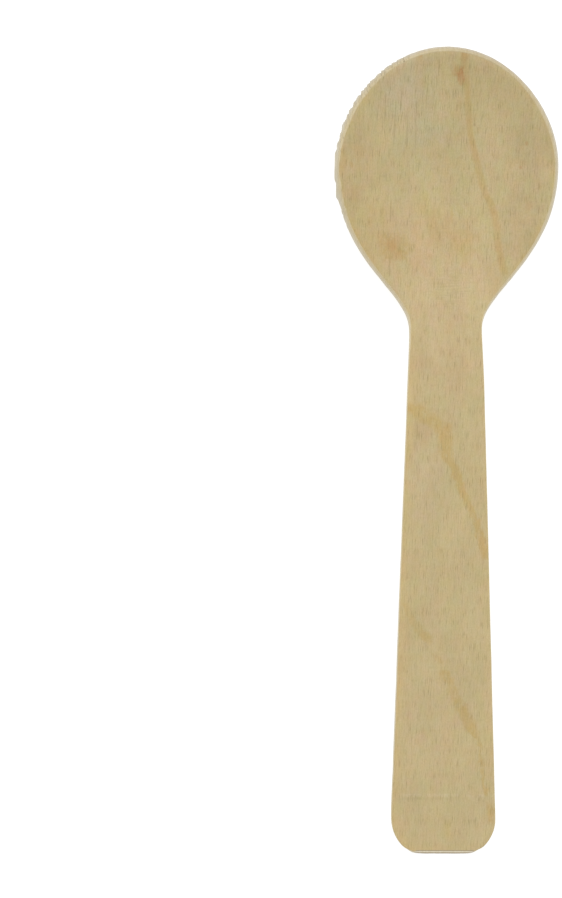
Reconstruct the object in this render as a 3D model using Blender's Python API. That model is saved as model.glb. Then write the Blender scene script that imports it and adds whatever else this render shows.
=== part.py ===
"""A small disposable spoon, cut and pressed from one sheet of birch veneer.

The blank is cut flat. A hollow is then pressed down out of it, so the handle
and the rim of the bowl stay close to one plane. The spoon lies on its back as
it would on a table, touching under the bowl and near the end of the handle.
Lengths are metres, +Z is up and the bowl's tip points along +Y. The origin is
on the table under the middle of the spoon.
"""

import math

import bmesh
import bpy
import numpy as np

MM = 0.001

# The flat blank, with distances from the bowl's tip down the middle line
LENGTH = 110.1 * MM
BOWL_WIDTH = 30.5 * MM
WIDEST_FROM_TIP = 16.3 * MM
NECK_WIDTH = 9.9 * MM
NECK_FROM_TIP = 38.4 * MM
HANDLE_WIDTH = 14.3 * MM
FOOT_CORNER = 5.2 * MM
FOOT_FLAT = 7.8 * MM
VENEER = 1.5 * MM
EDGE_BREAK = 0.2 * MM

# How far each curve of the outline runs straight on before it turns, as a
# share of the half width or of the distance between its two ends
CROWN_FULLNESS = 0.545
CHEEK_FULLNESS = 0.50
FLANK_STRAIGHTNESS = 0.57
NECK_TIGHTNESS = 0.23

# The pressed form
HOLLOW_DEPTH = 3.9 * MM
DEEPEST_FROM_TIP = 16.9 * MM
HOLLOW_PAST_NECK = 2.6 * MM
TIP_MARGIN = 0.15 * MM
RAMP_SOFTNESS = 0.22
PRESS_LINE_FROM_END = 7.7 * MM
FOOT_RISE = 0.3 * MM
REST_FLAT = 0.08 * MM

# How finely the sheet is divided
CROWN_STEPS = 22
FLANK_STEPS = 18
HANDLE_STEPS = 24
CORNER_STEPS = 8
RINGS = 9
SLOPE_STEP = 0.5 * MM


def curve_points(start, lead_out, lead_in, end, steps):
    """Points evenly spaced along a cubic curve, without its first one."""
    t = np.linspace(0.0, 1.0, 400)[:, None]
    curve = (1 - t) ** 3 * np.array(start) + 3 * t * (1 - t) ** 2 * np.array(lead_out)
    curve = curve + 3 * t * t * (1 - t) * np.array(lead_in) + t ** 3 * np.array(end)
    walked = np.append(0.0, np.cumsum(np.hypot(*np.diff(curve, axis=0).T)))
    at = np.linspace(0.0, walked[-1], steps + 1)[1:]
    return np.column_stack([np.interp(at, walked, curve[:, 0]), np.interp(at, walked, curve[:, 1])])


def half_outline():
    """Right half of the blank from the bowl's tip to the end: x, distance from the tip."""
    bowl_half, neck_half, foot_half = BOWL_WIDTH / 2, NECK_WIDTH / 2, HANDLE_WIDTH / 2
    splay = math.atan((foot_half - neck_half) / (LENGTH - FOOT_CORNER - NECK_FROM_TIP))

    tip = (0.0, 0.0)
    widest = (bowl_half, WIDEST_FROM_TIP)
    neck = (neck_half, NECK_FROM_TIP)
    taper = NECK_FROM_TIP - WIDEST_FROM_TIP
    neck_lead = NECK_TIGHTNESS * taper
    crown = curve_points(
        tip, (CROWN_FULLNESS * bowl_half, 0.0),
        (bowl_half, (1 - CHEEK_FULLNESS) * WIDEST_FROM_TIP), widest, CROWN_STEPS)
    flank = curve_points(
        widest, (bowl_half, WIDEST_FROM_TIP + FLANK_STRAIGHTNESS * taper),
        (neck_half - neck_lead * math.tan(splay), NECK_FROM_TIP - neck_lead), neck, FLANK_STEPS)

    # The foot's corner is an arc that starts along the splayed side and is cut
    # short by the flat end
    corner_x = foot_half - FOOT_CORNER * math.cos(splay)
    end_angle = math.acos(min(max((FOOT_FLAT / 2 - corner_x) / FOOT_CORNER, 0.0), 1.0))
    corner_from_tip = LENGTH - FOOT_CORNER * math.sin(end_angle)
    angles = np.linspace(-splay, end_angle, CORNER_STEPS + 1)
    corner = np.column_stack([
        corner_x + FOOT_CORNER * np.cos(angles),
        corner_from_tip + FOOT_CORNER * np.sin(angles)])

    side_run = np.linspace(neck, corner[0], HANDLE_STEPS + 1)[1:-1]
    end = np.array([[corner[-1][0] / 2, LENGTH], [0.0, LENGTH]])
    return np.vstack([[tip], crown, flank, side_run, corner, end])


def smooth_step(value):
    share = np.clip(value, 0.0, 1.0)
    return share * share * (3 - 2 * share)


def pressed_height(x, from_tip):
    """Height of the sheet's middle over the flat blank, at a place on the blank."""
    tipward = DEEPEST_FROM_TIP + TIP_MARGIN
    neckward = NECK_FROM_TIP + HOLLOW_PAST_NECK - DEEPEST_FROM_TIP
    along = from_tip - DEEPEST_FROM_TIP
    reach = np.where(along < 0, tipward, neckward)
    hollow = 1 - (x / (BOWL_WIDTH / 2)) ** 2 - (along / reach) ** 2
    # Towards the neck the hollow runs out softly instead of ending at a crease
    soft_hollow = (hollow + np.sqrt(hollow ** 2 + RAMP_SOFTNESS ** 2)) / 2
    softened = smooth_step(along / (NECK_FROM_TIP - DEEPEST_FROM_TIP))
    past_press_line = np.maximum(from_tip - (LENGTH - PRESS_LINE_FROM_END), 0.0)
    foot = FOOT_RISE * past_press_line / PRESS_LINE_FROM_END
    return foot - HOLLOW_DEPTH * (hollow + softened * (soft_hollow - hollow))


def middle_outline():
    """The outline drawn in to where the middle of the sheet ends.

    A pressed rim leans outwards, so its lower edge is the one seen from above.
    """
    rim = half_outline()
    along_rim = np.gradient(rim, axis=0)
    inward = np.column_stack([-along_rim[:, 1], along_rim[:, 0]])
    inward /= np.linalg.norm(inward, axis=1)[:, None]
    just_inside = rim + SLOPE_STEP * inward
    rise = pressed_height(*rim.T) - pressed_height(*just_inside.T)
    lean = np.sin(np.arctan2(rise, SLOPE_STEP))
    drawn_in = rim + inward * (lean * VENEER / 2)[:, None]
    drawn_in[[0, -1], 0] = 0.0
    return drawn_in


def half_sheet():
    """Right half of the pressed sheet's middle surface, as rings inside the outline.

    Each point of the outline is joined to the middle line straight across, and
    past the bowl's lowest place and the foot's corners to one point of it.
    """
    rim = middle_outline()
    bowl_centre = (DEEPEST_FROM_TIP + WIDEST_FROM_TIP) / 2
    foot_centre = LENGTH - FOOT_CORNER
    middle = np.column_stack([np.zeros(len(rim)), np.clip(rim[:, 1], bowl_centre, foot_centre)])

    bm = bmesh.new()
    rows = []
    for share in np.linspace(0.0, 1.0, RINGS + 1):
        flat = middle + share * (rim - middle)
        heights = pressed_height(flat[:, 0], flat[:, 1])
        rows.append([bm.verts.new((x, -from_tip, z)) for (x, from_tip), z in zip(flat, heights)])
    for inner, outer in zip(rows, rows[1:]):
        for i in range(len(inner) - 1):
            bm.faces.new((inner[i], inner[i + 1], outer[i + 1], outer[i]))
    bmesh.ops.remove_doubles(bm, verts=bm.verts, dist=0.001 * MM)
    mesh = bpy.data.meshes.new("spoon")
    bm.to_mesh(mesh)
    bm.free()
    return mesh


def give_thickness(spoon):
    """Mirror the half sheet, give it the veneer's thickness and break its edges."""
    mirror = spoon.modifiers.new("other half", "MIRROR")
    mirror.merge_threshold = 0.001 * MM
    solid = spoon.modifiers.new("veneer", "SOLIDIFY")
    solid.thickness = VENEER
    solid.offset = 0.0
    solid.use_even_offset = True
    rounded = spoon.modifiers.new("edge break", "BEVEL")
    rounded.width = min(EDGE_BREAK, VENEER / 3)
    rounded.segments = 2
    rounded.limit_method = "ANGLE"
    rounded.angle_limit = math.radians(50)

    evaluated = spoon.evaluated_get(bpy.context.evaluated_depsgraph_get())
    solid_mesh = bpy.data.meshes.new_from_object(evaluated)
    spoon.modifiers.clear()
    flat_mesh = spoon.data
    spoon.data = solid_mesh
    bpy.data.meshes.remove(flat_mesh)
    solid_mesh.name = "spoon"


def lay_on_table(mesh):
    """Tip the spoon until bowl and handle both touch the table, and centre it there."""
    points = np.array([vertex.co for vertex in mesh.vertices], dtype=float)
    in_bowl = points[:, 1] > -NECK_FROM_TIP
    for _ in range(12):
        bowl, handle = (group[group[:, 2].argmin()] for group in (points[in_bowl], points[~in_bowl]))
        turn = -math.atan2(bowl[2] - handle[2], bowl[1] - handle[1])
        y, z = points[:, 1].copy(), points[:, 2].copy()
        points[:, 1] = y * math.cos(turn) - z * math.sin(turn)
        points[:, 2] = y * math.sin(turn) + z * math.cos(turn)

    # The two places that it lies on are worn to small flats, level with the table
    table = points[:, 2].min() + REST_FLAT
    points[:, 2] = np.maximum(points[:, 2], table) - table
    points[:, 1] -= (points[:, 1].max() + points[:, 1].min()) / 2
    for vertex, place in zip(mesh.vertices, points):
        vertex.co = place
    mesh.update()


def birch():
    material = bpy.data.materials.new("birch veneer")
    material.use_nodes = True
    shader = material.node_tree.nodes["Principled BSDF"]
    shader.inputs["Base Color"].default_value = (0.53, 0.42, 0.23, 1.0)
    shader.inputs["Roughness"].default_value = 0.72
    shader.inputs["Metallic"].default_value = 0.0
    return material


def make_spoon():
    spoon = bpy.data.objects.new("spoon", half_sheet())
    bpy.context.collection.objects.link(spoon)
    give_thickness(spoon)
    lay_on_table(spoon.data)
    spoon.data.shade_smooth()
    spoon.data.set_sharp_from_angle(angle=math.radians(40))
    spoon.data.materials.clear()
    spoon.data.materials.append(birch())


def main():
    for old in list(bpy.data.objects):
        bpy.data.objects.remove(old)
    make_spoon()


main()
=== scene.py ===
"""A disposable wooden spoon on a white studio table, seen from straight above.

The spoon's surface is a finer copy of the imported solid, with the torn fibres of
its cut edge. Its veneer is one procedural material. Sizes are metres, and
places on the veneer are millimetres in the spoon's own frame: x across, y from
the handle's end towards the bowl's tip.
"""

import math

import bpy
import mathutils
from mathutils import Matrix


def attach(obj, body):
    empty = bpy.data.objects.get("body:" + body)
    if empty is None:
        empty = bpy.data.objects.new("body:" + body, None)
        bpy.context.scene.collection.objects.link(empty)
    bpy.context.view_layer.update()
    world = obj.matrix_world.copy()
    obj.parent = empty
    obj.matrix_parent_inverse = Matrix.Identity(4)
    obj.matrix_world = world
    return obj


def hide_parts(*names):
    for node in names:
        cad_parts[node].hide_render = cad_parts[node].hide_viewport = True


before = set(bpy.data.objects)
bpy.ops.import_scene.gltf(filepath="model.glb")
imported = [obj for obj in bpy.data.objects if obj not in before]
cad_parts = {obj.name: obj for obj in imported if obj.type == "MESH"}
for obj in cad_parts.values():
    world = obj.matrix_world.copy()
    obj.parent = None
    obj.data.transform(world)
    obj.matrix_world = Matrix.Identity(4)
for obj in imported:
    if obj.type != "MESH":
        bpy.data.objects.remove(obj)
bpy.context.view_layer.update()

MM = 0.001

# The camera looks straight down from beside the spoon, so the spoon is right of the picture's centre
CAMERA_X = -22.36 * MM
CAMERA_Y = 0.48 * MM
CAMERA_HEIGHT = 270.3 * MM
CAMERA_ROLL = math.radians(0.15)
LENS_MM = 78.8
SENSOR_MM = 36.0

# The studio: a glowing table just under the spoon, even light, and a soft box beyond the bowl's tip
TABLE_SIZE = 4.0
TABLE_GAP = 0.06 * MM
TABLE_GLOW = 0.8
EVEN_LIGHT = 0.72
SOFT_BOX_AT = (0.0, 0.50, 0.60)
SOFT_BOX_TILT = math.radians(-40)
SOFT_BOX_SIZE = (0.9, 0.5)
SOFT_BOX_WATTS = 3.3

# How far past its ends a growth ring fades out, and within what share of their width rings and
# stains have their full strength
RING_FADE = 1.0
FULL_WITHIN = 0.3

# Growth rings where they meet the surface, each place as x, y, half width and strength
BOWL_RING = [
    (2.1, 54.6, 0.85, 1.0), (2.35, 53.3, 0.8, 0.9), (2.5, 51.9, 0.7, 0.9), (2.6, 50.2, 0.65, 0.9),
    (2.8, 48.5, 0.65, 0.9), (3.0, 46.5, 0.65, 1.0), (3.2, 44.4, 0.6, 1.0), (3.55, 42.7, 0.6, 1.0),
    (4.0, 41.0, 0.65, 1.0), (4.4, 39.3, 0.7, 1.0), (4.85, 37.4, 0.75, 1.0), (5.5, 35.2, 0.65, 1.0),
    (6.2, 34.0, 0.65, 0.9), (6.7, 32.5, 0.7, 0.9), (6.95, 30.4, 0.65, 0.9), (7.15, 28.4, 0.65, 0.9),
    (7.5, 26.7, 0.7, 1.0), (7.85, 24.6, 0.75, 0.9)]
UPPER_HANDLE_RING = [
    (-4.95, 6.2, 1.2, 0.85), (-4.1, 5.9, 1.35, 0.85), (-3.3, 5.4, 1.5, 0.8), (-2.6, 4.8, 1.5, 0.8),
    (-1.8, 4.2, 1.5, 0.8), (-0.45, 3.4, 1.5, 0.9), (-0.1, 2.3, 1.45, 1.0), (0.05, 1.0, 1.3, 0.95),
    (0.15, -0.5, 1.05, 1.05), (0.95, -1.8, 0.85, 0.95), (1.55, -3.1, 0.8, 1.1), (2.0, -4.6, 0.75, 1.2),
    (2.7, -6.1, 0.7, 0.9), (3.4, -7.5, 0.7, 0.8), (4.1, -9.1, 0.7, 0.85), (4.6, -10.9, 0.7, 1.0),
    (5.2, -12.7, 0.75, 1.1), (5.5, -14.3, 0.7, 0.7)]
LOWER_HANDLE_RING = [
    (-5.3, -20.9, 0.7, 0.5), (-4.5, -22.5, 0.75, 0.55), (-3.65, -23.9, 0.8, 0.7),
    (-2.8, -24.9, 0.95, 0.9), (-2.15, -25.8, 0.85, 0.6), (-1.6, -26.9, 0.6, 0.05),
    (-0.85, -28.2, 0.7, 0.7), (-0.35, -29.2, 0.6, 0.05), (-0.1, -29.6, 0.9, 0.3),
    (0.15, -30.1, 0.95, 1.0), (0.7, -31.2, 0.9, 1.0), (1.25, -32.6, 0.9, 0.8),
    (1.95, -34.0, 1.05, 0.95), (2.5, -35.1, 1.15, 1.0), (3.15, -36.4, 1.15, 0.9),
    (3.75, -37.7, 1.15, 1.0), (4.1, -38.3, 0.9, 0.9), (4.8, -39.4, 0.4, 0.8),
    (5.0, -41.1, 0.4, 0.7), (5.2, -43.0, 0.4, 0.9), (5.4, -44.6, 0.4, 0.8),
    (5.75, -46.4, 0.4, 0.9), (5.95, -47.3, 0.4, 0.1), (6.15, -48.2, 0.55, 0.8),
    (6.4, -49.3, 0.6, 1.0), (6.4, -50.1, 0.55, 0.8)]

# Soft stained patches, painted shade on the bowl's side walls and small ragged flecks, each as x, y,
# half width, half length and tint
COOL_ZONE = (-5.0, 47.5, 7.0, 9.5)
STAINS_AND_SHADE = [
    (*COOL_ZONE, (0.995, 1.015, 1.06)), (-5.6, 49.6, 3.6, 5.5, (1.01, 1.03, 1.11)),
    (-3.4, 43.8, 2.0, 3.0, (1.0, 1.02, 1.08)), (-0.7, 43.6, 1.7, 2.4, (1.0, 1.02, 1.08)),
    (0.0, 22.0, 8.0, 7.0, (1.015, 0.985, 1.03)), (-2.6, -4.5, 3.2, 9.0, (1.01, 1.005, 1.07)),
    (0.0, 39.0, 18.0, 9.5, (0.965, 0.975, 0.98)), (-3.5, 28.5, 11.0, 6.5, (0.99, 0.955, 0.98)),
    (-3.2, 34.3, 2.2, 2.4, (1.0, 0.975, 0.90)), (-1.4, 31.1, 2.6, 3.5, (0.95, 0.93, 0.85)),
    (2.2, 28.2, 2.0, 3.2, (1.01, 0.97, 0.87)), (-3.6, 25.0, 3.2, 8.0, (1.015, 0.99, 1.0)),
    # Painted shade: the darker patches at x -11.0, 10.0, -12.4 and 11.4 darken the bowl's side walls
    (-11.0, 30.5, 4.5, 8.0, (0.97, 0.945, 0.89)), (10.0, 29.5, 4.4, 8.0, (0.92, 0.905, 0.92)),
    (-12.4, 38.0, 3.8, 6.5, (0.965, 0.935, 0.945)), (11.4, 39.5, 4.4, 9.0, (0.94, 0.935, 0.94)),
    (1.1, 50.0, 1.5, 6.0, (0.97, 0.955, 0.92)), (10.4, 49.6, 1.0, 1.4, (1.0, 0.95, 0.93)),
    (11.1, 33.4, 0.8, 1.0, (1.0, 0.955, 0.96)), (-1.5, -36.0, 7.0, 12.0, (1.01, 1.0, 1.02)),
    (-3.1, -39.1, 1.3, 1.7, (1.02, 0.965, 1.0)), (-1.7, -43.8, 0.8, 1.0, (1.02, 0.97, 1.0)),
    (-4.7, -44.9, 0.8, 0.8, (1.02, 0.965, 0.99)), (-4.8, -35.9, 0.7, 0.9, (1.02, 0.97, 1.0)),
    (1.6, -36.6, 0.8, 1.6, (1.01, 0.965, 1.0)), (-0.8, -40.3, 0.6, 0.7, (1.02, 0.97, 1.0)),
    (0.6, -51.7, 1.2, 2.2, (1.0, 0.96, 0.86)), (-5.6, -51.0, 1.6, 3.0, (1.02, 0.975, 0.98)),
    (-3.4, 2.4, 1.8, 3.0, (0.955, 0.905, 0.91)), (0.0, 11.3, 6.0, 3.5, (0.995, 0.955, 0.975)),
    (0.0, 16.5, 6.0, 4.5, (0.98, 0.96, 0.98))]
FLECKS = [
    (1.4, 51.6, 1.05, 1.2, (0.93, 0.83, 0.72)), (1.85, 50.9, 0.75, 1.4, (0.97, 0.80, 0.74)),
    (2.1, 53.2, 0.6, 2.2, (0.94, 0.88, 0.84)), (-7.1, 28.0, 2.9, 2.7, (0.955, 0.91, 0.78)),
    (-7.4, 28.2, 0.95, 1.3, (0.98, 0.91, 0.88)), (-6.1, 26.8, 1.2, 1.2, (0.99, 0.94, 0.89)),
    (10.8, 42.0, 0.35, 0.45, (0.95, 0.83, 0.78)), (10.1, 38.8, 0.25, 0.35, (0.92, 0.82, 0.80)),
    (0.9, 32.5, 0.3, 1.6, (0.97, 0.93, 0.82)), (3.9, 44.7, 0.25, 0.3, (0.85, 0.80, 0.78)),
    (-3.7, 53.7, 0.4, 0.6, (0.96, 0.85, 0.75)), (-12.9, 39.0, 0.3, 0.6, (0.96, 0.90, 0.78))]

# Wrinkles across the neck, as x, y, half width and half length
WRINKLES = (0.6, 22.4, 4.2, 4.2)

# Along y: where the handle turns into the bowl, the press line and the dark line beside it
NECK = (12.0, 24.0)
PRESS_LINE = -46.8
PRESS_SHADOW = -47.3

# The foot's end along y: where it turns dark, painted shade along its upper arris; the pale line over
# it, a painted highlight on its lit end face; and the less dark last line, painted shade along its
# lower arris.
# Then that end's middle on x, and how far from there the lines fade out.
FOOT_END = (-54.34, -54.26)
FOOT_HIGHLIGHT_LINE = -54.53
FOOT_LOWER_SHADE_LINE = (-54.64, -54.56)
FOOT_END_MIDDLE = 0.2
FOOT_END_CORNERS = (3.8, 4.4)

# Fine pores, streaks and long vessels lean this far across the grain for each millimetre along it
PORE_LEAN = 0.04

# Long dark vessels, each as x, y, its half length, and how dark it is
LONG_VESSELS = [
    (-8.4, 46.5, 2.6, 0.8), (-7.0, 45.0, 3.4, 1.0), (-6.2, 47.5, 2.0, 0.8), (-5.3, 43.8, 3.0, 0.9),
    (-4.1, 46.0, 2.4, 0.8), (-2.7, 48.5, 2.2, 0.7), (-1.2, 52.0, 1.4, 0.8), (0.6, 43.0, 1.6, 0.5),
    (2.1, 49.6, 1.2, 1.0), (5.6, 48.0, 1.6, 0.6), (-7.5, 33.0, 1.9, 0.9), (-7.7, 25.4, 1.8, 1.0),
    (5.2, 33.4, 1.0, 1.0), (5.6, 27.2, 1.2, 0.9), (-3.9, 2.8, 1.1, 1.0), (-3.1, -0.6, 0.9, 0.7),
    (-2.7, 13.2, 0.8, 0.6), (2.2, 12.4, 1.0, 0.6), (4.4, 1.4, 1.0, 0.5), (-1.9, -20.5, 1.0, 0.6)]

# The underside's patterns come from this far away in the noise, so they differ from the upper face's
UNDERSIDE_APART = 7.0

# What a height of 1 stands for in the relief of the vessels and fibres
RELIEF = 0.03 * MM

# Past here the cut turns across the grain, to the bowl's tip
WIDEST_AT = 38.0 * MM
TIP_BLENDS_IN = 3.0 * MM

# The torn cut edge: a vertex group, the width of its fibres, how deep they tear, how sharply,
# which share of that depth stays outside the clean cut, and which way they tear. Then where the
# chips come in, along x and along y.
FIBRE_LENGTH = 5.0 * MM
TEARS = [
    ("rim", 1.4 * MM, 0.06 * MM, 1.0, 0.4, "NORMAL"),
    ("chipped", 0.17 * MM, 0.12 * MM, 5.0, 0.5, "X")]
CHIPPED_LEFT_OF = (-3.0 * MM, -6.0 * MM)
CHIPPED_BEYOND = (30.0 * MM, 34.0 * MM)

# A face whose normal reaches further sideways than this belongs to the cut edge
EDGE_NORMAL = 0.6

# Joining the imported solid's triangles, loops that hold its flat faces beside the rim, and how many
# times the surface is then divided
MERGE_WITHIN = 0.002 * MM
FLAT_WITHIN = math.radians(0.2)
PAIR_WITHIN = math.radians(12)
PAIR_SHAPE_WITHIN = math.radians(60)
MANY_SIDES = 8
SUPPORT_LOOPS = (0.25 * MM, 0.6 * MM)
SMOOTHING_LEVELS = 2

# Past which y the cut leans at the foot's end and at the bowl's tip, and how far its upper and its
# lower part move along y there
FOOT_CUT_PAST = -54.5 * MM
FOOT_CUT_LEAN = (0.28 * MM, -0.15 * MM)
TIP_CUT_PAST = 52.5 * MM
TIP_CUT_LEAN = (-0.08 * MM, 0.0)


def srgb(red, green, blue):
    """A colour given in 8-bit screen values, as the linear colour that a shader takes."""
    linear = [((value / 255 + 0.055) / 1.055) ** 2.4 for value in (red, green, blue)]
    return (*linear, 1.0)


class Value:
    """What one socket gives, with arithmetic that adds the Math nodes it needs."""

    def __init__(self, shader, socket):
        self.shader = shader
        self.socket = socket

    def maths(self, operation, *terms):
        return self.shader.node("ShaderNodeMath", {"operation": operation}, dict(enumerate(terms)))

    def __add__(self, other):
        return self.maths("ADD", self, other)

    def __sub__(self, other):
        return self.maths("SUBTRACT", self, other)

    def __rsub__(self, other):
        return self.maths("SUBTRACT", other, self)

    def __mul__(self, other):
        return self.maths("MULTIPLY", self, other)

    def __abs__(self):
        return self.maths("ABSOLUTE", self)

    def __pow__(self, other):
        return self.maths("POWER", self, other)

    __radd__ = __add__


class Shader:
    """A new material and its nodes."""

    def __init__(self, name):
        self.material = bpy.data.materials.new(name)
        self.material.use_nodes = True
        self.tree = self.material.node_tree
        self.tree.nodes.clear()

    def node(self, kind, settings=None, inputs=None, output=0):
        """Add a node: its settings come first, then its sockets' values or links."""
        node = self.tree.nodes.new(kind)
        for name, setting in (settings or {}).items():
            if name == "curve":
                points = node.mapping.curves[0].points
                points[0].location, points[1].location = setting[0], setting[-1]
                for place in setting[1:-1]:
                    points.new(*place)
                node.mapping.update()
            else:
                setattr(node, name, setting)
        for name, value in (inputs or {}).items():
            if isinstance(value, Value):
                self.tree.links.new(value.socket, node.inputs[name])
            else:
                node.inputs[name].default_value = value
        return Value(self, node.outputs[output]) if len(node.outputs) else None

    def mix(self, share, first, second, how="MIX"):
        settings = {"data_type": "RGBA", "blend_type": how}
        return self.node("ShaderNodeMix", settings, {0: share, 6: first, 7: second}, output=2)

    def rise(self, value, low, high):
        """0 below low, 1 above high, and smooth between them."""
        settings = {"interpolation_type": "SMOOTHSTEP"}
        return self.node("ShaderNodeMapRange", settings, {0: value, 1: low, 2: high})

    def fall(self, value, low, high):
        return 1 - self.rise(value, low, high)


def leaning(xs, ys):
    """The cosine of a curve's lean from the grain at each of its places, with the place's y."""
    before, after = (0, *range(len(ys) - 1)), (*range(1, len(ys)), len(ys) - 1)
    leans = [(xs[j] - xs[i], ys[j] - ys[i]) for i, j in zip(before, after)]
    return [(abs(along) / math.hypot(across, along), y) for (across, along), y in zip(leans, ys)]


class Veneer(Shader):
    """Patterns over the birch veneer, with x and y in millimetres."""

    def __init__(self, name):
        super().__init__(name)
        coordinates = self.node("ShaderNodeTexCoord", output=3)
        apart = self.node("ShaderNodeSeparateXYZ", None, {0: coordinates}).socket.node
        self.x, self.y = (Value(self, apart.outputs[i]) * (1 / MM) for i in range(2))
        self.underside = self.attribute("underside")
        self.top = 1 - self.underside
        self.in_bowl = self.rise(self.y, *NECK)
        # The foot's end, where shade and a highlight on its slanted end face are painted
        inside_corners = self.fall(abs(self.x - FOOT_END_MIDDLE), *FOOT_END_CORNERS)
        self.foot_end = inside_corners * self.fall(self.y, *FOOT_END)

    def attribute(self, name):
        return self.node("ShaderNodeAttribute", {"attribute_name": name}, output=2)

    def apply_tint(self, colour, share, tint):
        """Multiply a colour by a tint, where share is 1."""
        return self.mix(share, colour, (*tint, 1.0), "MULTIPLY")

    def grain(self, across, along, seed=0.0, detail=0.0, roughness=0.5, lean=0.0):
        """Noise with features of about across by along millimetres, drawn out along the grain.

        It depends on the place on the sheet and not on its height, because the
        sheet was pressed after it was cut. The underside has its own.
        """
        x = (self.x - self.y * lean) * (1 / across) + seed
        y = self.y * (1 / along)
        side = self.underside * UNDERSIDE_APART
        place = self.node("ShaderNodeCombineXYZ", None, {0: x, 1: y, 2: side})
        inputs = {"Vector": place, "Scale": 1.0, "Detail": detail, "Roughness": roughness}
        return self.node("ShaderNodeTexNoise", None, inputs)

    def curve_through(self, places):
        """A value that follows a curve through places, each a value and its y."""
        places = list(places)
        xs, ys = zip(*places)
        low_x, span_x = min(xs), max(xs) - min(xs)
        low_y, span_y = min(ys), max(ys) - min(ys)
        points = sorted(((y - low_y) / span_y, (x - low_x) / span_x) for x, y in places)
        along = (self.y - low_y) * (1 / span_y)
        curve = self.node("ShaderNodeFloatCurve", {"curve": points}, {0: 1.0, 1: along})
        return curve * span_x + low_x

    def ring(self, places, wander):
        """A growth ring's soft line, as strong in its middle as its places say."""
        xs, ys, widths, strengths = zip(*places)
        line, width, strength = (self.curve_through(zip(each, ys)) for each in (xs, widths, strengths))
        off = abs(self.x - line + wander) * self.curve_through(leaning(xs, ys))
        lower_end = self.rise(self.y, min(ys) - RING_FADE, min(ys))
        upper_end = self.fall(self.y, max(ys), max(ys) + RING_FADE)
        return self.fall(off, width * FULL_WITHIN, width) * (lower_end * upper_end) * strength

    def spot(self, x, y, across, along, ragged):
        """A soft spot of that half width and half length on the upper face, 1 in its middle."""
        dx, dy = (self.x - x) * (1 / across), (self.y - y) * (1 / along)
        return self.fall((dx * dx + dy * dy) ** 0.5 + ragged, FULL_WITHIN, 1.0) * self.top


def mottled_wood(veneer):
    """The plain wood: stripes of pinkness and warmth along the grain, and a finer mottle over them.

    Both are weaker on the handle.
    """
    pink_stripes = veneer.grain(2.4, 9.0, 11.7, detail=1.0)
    pink_mottle = veneer.grain(1.5, 1.9, 14.2, detail=2.0, roughness=0.45)
    warm_stripes = veneer.grain(2.4, 9.0, 19.3, detail=1.0)
    warm_mottle = veneer.grain(1.1, 1.3, 23.1, detail=3.0, roughness=0.7)
    tone = veneer.grain(4.0, 9.0, 3.1, detail=5.0, roughness=0.6)
    vivid = veneer.in_bowl * 0.25 + 0.75
    pink = (pink_stripes * 0.35 + pink_mottle * 0.65 - 0.5) * vivid
    warm = (warm_stripes * 0.25 + warm_mottle * 0.75 - 0.5) * vivid
    face = veneer.mix(veneer.rise(pink, -0.2, 0.2), srgb(199, 185, 142), srgb(204, 181, 142))
    face = veneer.apply_tint(face, veneer.rise(warm, -0.18, 0.18), (0.985, 0.975, 0.845))
    return veneer.apply_tint(face, veneer.rise(tone, 0.3, 0.7), (0.92, 0.92, 0.91))


def growth_rings(veneer, face):
    """Warm soft lines with wandering sides. Those on the handle are blotchy."""
    wander = (veneer.grain(0.45, 1.2, 21.0, detail=2.0, roughness=0.6) - 0.5) * 1.4
    face = veneer.apply_tint(face, veneer.ring(BOWL_RING, wander * 0.25), (0.965, 0.895, 0.78))
    blotches = veneer.rise(veneer.grain(0.8, 1.2, 25.0, detail=3.0, roughness=0.65), 0.15, 0.6)
    on_handle = veneer.ring(UPPER_HANDLE_RING, wander) * 1.12 + veneer.ring(LOWER_HANDLE_RING, wander)
    return veneer.apply_tint(face, on_handle * blotches, (0.955, 0.875, 0.705))


def stains_and_shade(veneer, face, tone):
    """Cool, golden, pale and pink patches, painted shade on the bowl's side walls, a reddish fleck near
    the tip and a fainter blotch.
    """
    cloudy = (tone - 0.5) * 1.3
    # Each patch multiplies the colour by its tint: most are stained patches, four are painted shade on
    # the bowl's side walls
    for *place, tint in STAINS_AND_SHADE:
        face = veneer.apply_tint(face, veneer.spot(*place, cloudy), tint)
    ragged = (veneer.grain(0.35, 0.6, 33.0, detail=2.0) - 0.5) * 1.1
    for *place, tint in FLECKS:
        face = veneer.apply_tint(face, veneer.spot(*place, ragged), tint)
    return face, veneer.spot(*COOL_ZONE, cloudy)


def grain_lines(veneer, face, cool):
    """Vessels, fine streaks, specks, which are weaker on the handle, and long vessels."""
    pores = veneer.grain(0.12, 1.6, 41.0, detail=1.0, lean=PORE_LEAN)
    vessels = veneer.rise(pores, 0.50, 0.70)
    lengthwise = veneer.grain(0.16, 3.4, 44.0, detail=2.0, roughness=0.7, lean=PORE_LEAN)
    streaks = veneer.rise(lengthwise, 0.35, 0.65)
    specks = veneer.rise(veneer.grain(0.13, 0.30, 47.0, detail=1.0, roughness=0.7), 0.35, 0.75)
    face = veneer.apply_tint(face, vessels * (cool * 0.3 + 0.65), (0.85, 0.84, 0.80))
    face = veneer.apply_tint(face, veneer.rise(pores, 0.66, 0.74), (0.80, 0.79, 0.75))
    face = veneer.apply_tint(face, streaks, (0.935, 0.93, 0.92))
    face = veneer.apply_tint(face, specks * (veneer.in_bowl * 0.2 + 0.8), (0.895, 0.89, 0.865))

    sway = (veneer.grain(0.5, 2.6, 60.0, detail=1.0) - 0.5) * 0.2
    long_vessels = 0
    for x, y, half_length, dark in LONG_VESSELS:
        off = abs(veneer.x - x - (veneer.y - y) * PORE_LEAN + sway)
        ends = veneer.fall(abs(veneer.y - y), half_length * 0.5, half_length)
        long_vessels = long_vessels + veneer.fall(off, 0.03, 0.12) * ends * dark
    return veneer.apply_tint(face, long_vessels * veneer.top, (0.84, 0.83, 0.79)), vessels


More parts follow.
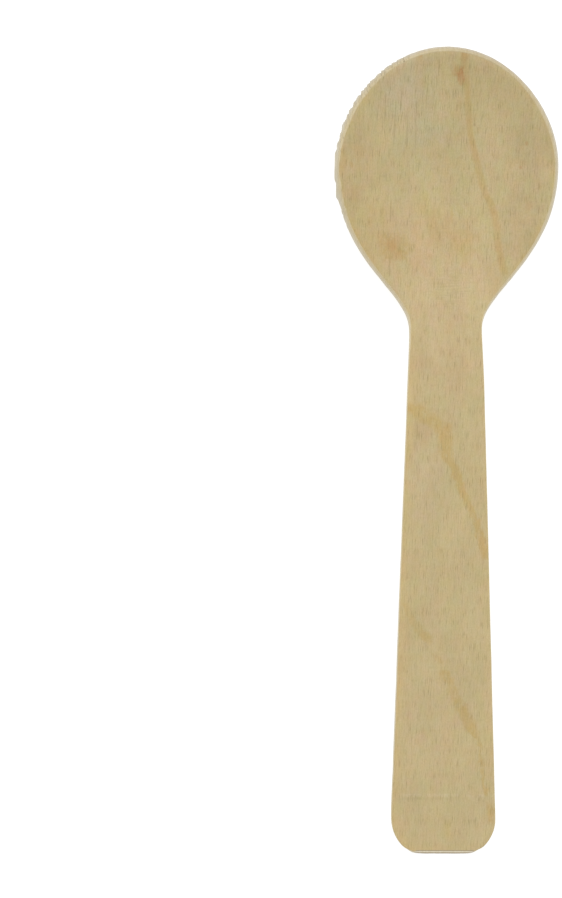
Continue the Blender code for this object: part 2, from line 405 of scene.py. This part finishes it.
def press_marks(veneer, face):
    """What the press left: wrinkles across the neck, and a faint line across the handle."""
    creases = veneer.rise(veneer.grain(2.2, 0.24, 64.0, detail=1.0), 0.45, 0.60)
    face = veneer.apply_tint(face, creases * veneer.spot(*WRINKLES, 0.0), (0.94, 0.94, 0.93))
    broken = veneer.rise(veneer.grain(0.9, 4.0, 70.0, detail=1.0), 0.35, 0.55)
    pale_line = veneer.fall(abs(veneer.y - PRESS_LINE), 0.08, 0.32) * broken
    face = veneer.apply_tint(face, pale_line, (1.06, 1.06, 1.15))
    dark_line = veneer.fall(abs(veneer.y - PRESS_SHADOW), 0.05, 0.28) * broken
    return veneer.apply_tint(face, dark_line * veneer.fall(veneer.x, -4.0, 4.0), (0.95, 0.95, 0.96))


def veneer_face(veneer):
    """Colour of the pressed faces, and their vessels for the relief."""
    face = mottled_wood(veneer)
    tone = veneer.grain(2.6, 4.5, 29.0, detail=2.0)
    face = growth_rings(veneer, face)
    face, cool = stains_and_shade(veneer, face, tone)
    face, vessels = grain_lines(veneer, face, cool)
    face = press_marks(veneer, face)

    # Beside the edge the face is rubbed pale round the bowl's tip, golden in places round the rest
    # of the bowl, and warm on the handle, most of all on its left
    from_edge = veneer.attribute("from_edge")
    at_tip = veneer.rise(veneer.y, 44.0, 50.0) * veneer.fall(from_edge, 0.2, 1.1)
    face = veneer.apply_tint(face, at_tip, (1.07, 1.06, 1.08))
    round_bowl = veneer.rise(veneer.y, 20.0, 26.0) * veneer.fall(veneer.y, 47.0, 52.0)
    golden = round_bowl * veneer.fall(from_edge, 0.3, 1.4) * veneer.rise(tone, 0.35, 0.6)
    face = veneer.apply_tint(face, golden, (0.985, 0.955, 0.89))
    left = veneer.fall(veneer.x, -2.0, 2.0) * 0.7 + 0.3
    on_handle = veneer.fall(veneer.y, 8.0, 20.0) * left * veneer.fall(from_edge, 0.1, 1.6)
    return veneer.apply_tint(face, on_handle, (1.06, 1.015, 0.95)), vessels


def cut_edge(veneer, below_face):
    """Colour of the cut edge: cream, tan towards the face, with broken fibres, darker across the grain.

    The torn left side is paler than the clean right side. Below the bowl the edge is palest,
    which is painted light, as the soft box reaches it less there. The foot's end has a pale
    line, a painted highlight on its lit end face, between two dark ones of painted shade.
    """
    fibres = veneer.grain(0.3, 1.6, 52.0, detail=2.0, roughness=0.7)
    edge = veneer.mix(veneer.rise(fibres, 0.3, 0.7), srgb(212, 206, 190), srgb(204, 195, 172))
    near_face = veneer.fall(below_face, 0.0, 1.4)
    clean_side = veneer.rise(veneer.x, -2.0, 4.0) * veneer.rise(veneer.y, 28.0, 40.0)
    edge = veneer.apply_tint(edge, near_face, (0.97, 0.885, 0.68))
    edge = veneer.apply_tint(edge, near_face * clean_side, (0.96, 0.96, 0.93))
    edge = veneer.apply_tint(edge, clean_side, (0.965, 0.955, 0.97))
    # Painted light: below the bowl the cut edge faces away from the soft box, so it is painted paler
    painted_light_below_bowl = veneer.fall(veneer.y, 26.0, 40.0)
    edge = veneer.apply_tint(edge, painted_light_below_bowl, (1.05, 1.04, 1.03))
    edge = veneer.apply_tint(edge, veneer.attribute("end_grain"), (0.75, 0.725, 0.70))
    # Painted highlight and shade at the foot's end: a pale line on its lit end face, with painted shade
    # along its upper arris over it and a less dark line of painted shade along its lower arris
    pale = veneer.fall(abs(veneer.y - FOOT_HIGHLIGHT_LINE), 0.04, 0.10)
    last = veneer.fall(veneer.y, *FOOT_LOWER_SHADE_LINE)
    edge = veneer.apply_tint(edge, veneer.foot_end * pale, (1.19, 1.30, 1.65))
    edge = veneer.apply_tint(edge, veneer.foot_end * (1 - pale), (0.58, 0.56, 0.58))
    return veneer.apply_tint(edge, veneer.foot_end * last, (1.30, 1.30, 1.25)), fibres


def birch_veneer():
    veneer = Veneer("birch_veneer")
    face, vessels = veneer_face(veneer)
    edge, fibres = cut_edge(veneer, veneer.attribute("below_face"))
    # Round the upper part of the bowl the pale edge has worn a little way into the face
    worn = veneer.rise(veneer.y, 39.5, 45.0) * veneer.fall(veneer.attribute("from_edge"), 0.0, 0.32)
    left_side = veneer.fall(veneer.x, -8.0, -3.0)
    torn = veneer.attribute("cut_edge") + fibres * 0.3 - left_side * 0.03
    # The foot's end takes the cut's colour here, with its painted shade and highlight
    cut = veneer.rise(torn + worn + veneer.foot_end, 0.68, 1.22)
    colour = veneer.mix(cut, face, edge)
    relief = vessels * -0.6 + fibres * cut
    bump = veneer.node("ShaderNodeBump", None, {
        "Strength": 0.3, "Distance": RELIEF, "Height": relief})
    shader = veneer.node("ShaderNodeBsdfPrincipled", None, {
        "Base Color": colour, "Roughness": fibres * 0.15 + 0.65,
        "Normal": bump, "Specular IOR Level": 0.3})
    veneer.node("ShaderNodeOutputMaterial", None, {"Surface": shader})
    return veneer.material


def deselect_all():
    if bpy.context.mode != "OBJECT":
        bpy.ops.object.mode_set(mode="OBJECT")
    bpy.ops.object.select_all(action="DESELECT")


def make_current(piece):
    deselect_all()
    piece.select_set(True)
    bpy.context.view_layer.objects.active = piece


def finish_modifiers(piece):
    make_current(piece)
    for modifier in list(piece.modifiers):
        bpy.ops.object.modifier_apply(modifier=modifier.name)


def select_vertices(piece, wanted):
    """Select a mesh's vertices by a test on them, and go into edit mode."""
    make_current(piece)
    bpy.ops.object.mode_set(mode="EDIT")
    bpy.ops.mesh.select_mode(type="VERT")
    bpy.ops.mesh.select_all(action="DESELECT")
    bpy.ops.object.mode_set(mode="OBJECT")
    for vertex in piece.data.vertices:
        vertex.select = wanted(vertex)
    bpy.ops.object.mode_set(mode="EDIT")


def between(value, none, full):
    """0 at one value, 1 at another, and even steps between them."""
    return min(max((value - none) / (full - none), 0.0), 1.0)


def weights(piece, group):
    """Each vertex's weight in a vertex group."""
    index = piece.vertex_groups[group].index
    return [next((g.weight for g in v.groups if g.group == index), 0.0) for v in piece.data.vertices]


def merged_copy(node, name):
    """A CAD node's mesh as a piece of its own, with its loose triangles joined up."""
    piece = bpy.data.objects.new(name, node.data.copy())
    bpy.context.collection.objects.link(piece)
    make_current(piece)
    bpy.ops.object.mode_set(mode="EDIT")
    bpy.ops.mesh.select_all(action="SELECT")
    bpy.ops.mesh.remove_doubles(threshold=MERGE_WITHIN)
    bpy.ops.mesh.customdata_custom_splitnormals_clear()
    bpy.ops.object.mode_set(mode="OBJECT")
    return piece


def mark_cut_edge(piece):
    """Put the rim's vertices in one group, and its chipped left side in another."""
    faces = piece.data.polygons
    sideways = [f for f in faces if math.hypot(f.normal.x, f.normal.y) > EDGE_NORMAL]
    rim = {index for face in sideways for index in face.vertices}
    piece.vertex_groups.new(name="rim").add(list(rim), 1.0, "REPLACE")
    chipped = piece.vertex_groups.new(name="chipped")
    for index in rim:
        place = piece.data.vertices[index].co
        weight = between(place.x, *CHIPPED_LEFT_OF) * between(place.y, *CHIPPED_BEYOND)
        chipped.add([index], weight, "REPLACE")


def tidy_faces(piece):
    """Join the flat faces' long triangles, inset them beside the rim, and pair the rest into quads."""
    rim = weights(piece, "rim")
    select_vertices(piece, lambda vertex: rim[vertex.index] == 0)
    bpy.ops.mesh.dissolve_limited(angle_limit=FLAT_WITHIN)
    bpy.ops.mesh.select_all(action="SELECT")
    bpy.ops.mesh.tris_convert_to_quads(
        face_threshold=PAIR_WITHIN, shape_threshold=PAIR_SHAPE_WITHIN)
    bpy.ops.mesh.select_mode(type="FACE")
    bpy.ops.mesh.select_all(action="DESELECT")
    bpy.ops.mesh.select_face_by_sides(number=MANY_SIDES, type="GREATER")
    for thickness in SUPPORT_LOOPS:
        bpy.ops.mesh.inset(thickness=thickness)
    bpy.ops.object.mode_set(mode="OBJECT")


def lean_cut(piece, past, shifts):
    """Move the upper and the lower part of the cut at one end of the spoon, to lean it over."""
    rim = weights(piece, "rim")
    ends = {v.index for v in piece.data.vertices if v.co.y > past > 0 or v.co.y < past < 0}
    heights = [v.co.z for v in piece.data.vertices if v.index in ends and rim[v.index]]
    middle = sum(heights) / len(heights)
    for upper, shift in zip((True, False), shifts):
        select_vertices(piece, lambda v: v.index in ends and (v.co.z > middle) == upper)
        bpy.ops.transform.translate(value=(0.0, shift, 0.0))
        bpy.ops.object.mode_set(mode="OBJECT")


def refine(piece):
    """Round the surface off, with more divisions along the rim and its chips for their fibres."""
    finer = piece.modifiers.new("finer", "SUBSURF")
    finer.levels = finer.render_levels = SMOOTHING_LEVELS
    finish_modifiers(piece)
    for group in ("rim", "chipped"):
        torn = weights(piece, group)
        select_vertices(piece, lambda vertex: torn[vertex.index] > 0.5)
        bpy.ops.mesh.subdivide(number_cuts=1)
        bpy.ops.object.mode_set(mode="OBJECT")


def tear_fibres(piece):
    """Displace the cut edge along fibres, which lie along the handle and break in steps."""
    for group, across, strength, sharpness, outside, direction in TEARS:
        bpy.ops.object.empty_add(location=(0, 0, 0))
        fibre_size = bpy.context.object
        fibre_size.scale = (across, FIBRE_LENGTH, FIBRE_LENGTH)
        pattern = bpy.data.textures.new(group, "CLOUDS")
        pattern.noise_scale = 1.0
        pattern.noise_depth = 1
        pattern.contrast = sharpness
        tear = piece.modifiers.new(group, "DISPLACE")
        tear.texture = pattern
        tear.texture_coords = "OBJECT"
        tear.texture_coords_object = fibre_size
        tear.vertex_group = group
        tear.strength = strength
        tear.mid_level = outside
        tear.direction = direction
        finish_modifiers(piece)
        bpy.data.objects.remove(fibre_size)


def add_attribute(mesh, name, values):
    attribute = mesh.attributes.new(name, "FLOAT", "POINT")
    attribute.data.foreach_set("value", values)


def distances(mesh, wanted):
    """Each vertex's distance in millimetres from the nearest vertex that passes a test."""
    places = [vertex.co for vertex in mesh.vertices if wanted(vertex)]
    tree = mathutils.kdtree.KDTree(len(places))
    for index, place in enumerate(places):
        tree.insert(place, index)
    tree.balance()
    return [tree.find(vertex.co)[2] / MM for vertex in mesh.vertices]


def across_grain(vertex):
    """How squarely the cut crosses the grain round the bowl's tip. Elsewhere it is 0."""
    return abs(vertex.normal.y) * between(vertex.co.y, WIDEST_AT, WIDEST_AT + TIP_BLENDS_IN)


def add_finish_attributes(piece):
    """What the material reads: the cut edge, its end grain, distances and the underside."""
    mesh = piece.data
    rim = weights(piece, "rim")
    add_attribute(mesh, "cut_edge", rim)
    add_attribute(mesh, "end_grain", [across_grain(vertex) for vertex in mesh.vertices])
    add_attribute(mesh, "underside", [1.0 if vertex.normal.z < 0 else 0.0 for vertex in mesh.vertices])
    add_attribute(mesh, "from_edge", distances(mesh, lambda v: rim[v.index] > 0.5))
    add_attribute(mesh, "below_face", distances(mesh, lambda v: rim[v.index] < 0.5 and v.normal.z > 0))


def spoon():
    """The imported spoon's surface, finer, with the fibres of its cut edge torn."""
    piece = merged_copy(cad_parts["spoon"], "veneer_spoon")
    mark_cut_edge(piece)
    tidy_faces(piece)
    lean_cut(piece, FOOT_CUT_PAST, FOOT_CUT_LEAN)
    lean_cut(piece, TIP_CUT_PAST, TIP_CUT_LEAN)
    refine(piece)
    tear_fibres(piece)
    add_finish_attributes(piece)
    piece.data.materials.clear()
    piece.data.materials.append(birch_veneer())
    make_current(piece)
    bpy.ops.object.shade_smooth()
    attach(piece, "root")
    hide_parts("spoon")


def table():
    """A white table that glows like a light box, so the spoon casts hardly any shadow on it."""
    bpy.ops.mesh.primitive_plane_add(size=TABLE_SIZE, location=(0, 0, -TABLE_GAP))
    floor = bpy.context.object
    floor.name = "studio_table"
    white = Shader("white_table")
    diffuse = white.node("ShaderNodeBsdfDiffuse", None, {"Color": (0.35, 0.35, 0.35, 1.0)})
    shine = {"Color": (1.0, 1.0, 1.0, 1.0), "Strength": TABLE_GLOW}
    glow = white.node("ShaderNodeEmission", None, shine)
    both = white.node("ShaderNodeAddShader", None, {0: diffuse, 1: glow})
    white.node("ShaderNodeOutputMaterial", None, {"Surface": both})
    floor.data.materials.append(white.material)


def light():
    """Even light from all sides, and a soft box beyond the bowl's tip that faces the spoon."""
    world = bpy.data.worlds.new("studio")
    bpy.context.scene.world = world
    world.use_nodes = True
    background = world.node_tree.nodes["Background"]
    background.inputs["Color"].default_value = (1.0, 1.0, 1.0, 1.0)
    background.inputs["Strength"].default_value = EVEN_LIGHT
    bpy.ops.object.light_add(type="AREA", location=SOFT_BOX_AT, rotation=(SOFT_BOX_TILT, 0, 0))
    lamp = bpy.context.object
    lamp.name = "soft_box"
    lamp.data.shape = "RECTANGLE"
    lamp.data.size, lamp.data.size_y = SOFT_BOX_SIZE
    lamp.data.energy = SOFT_BOX_WATTS
    bpy.context.scene.view_settings.view_transform = "Standard"


def camera():
    place = (CAMERA_X, CAMERA_Y, CAMERA_HEIGHT)
    bpy.ops.object.camera_add(location=place, rotation=(0, 0, CAMERA_ROLL))
    eye = bpy.context.object
    eye.data.sensor_fit = "VERTICAL"
    eye.data.sensor_height = SENSOR_MM
    eye.data.lens = LENS_MM
    eye.data.clip_start = 0.01
    bpy.context.scene.camera = eye


deselect_all()
spoon()
table()
light()
camera()
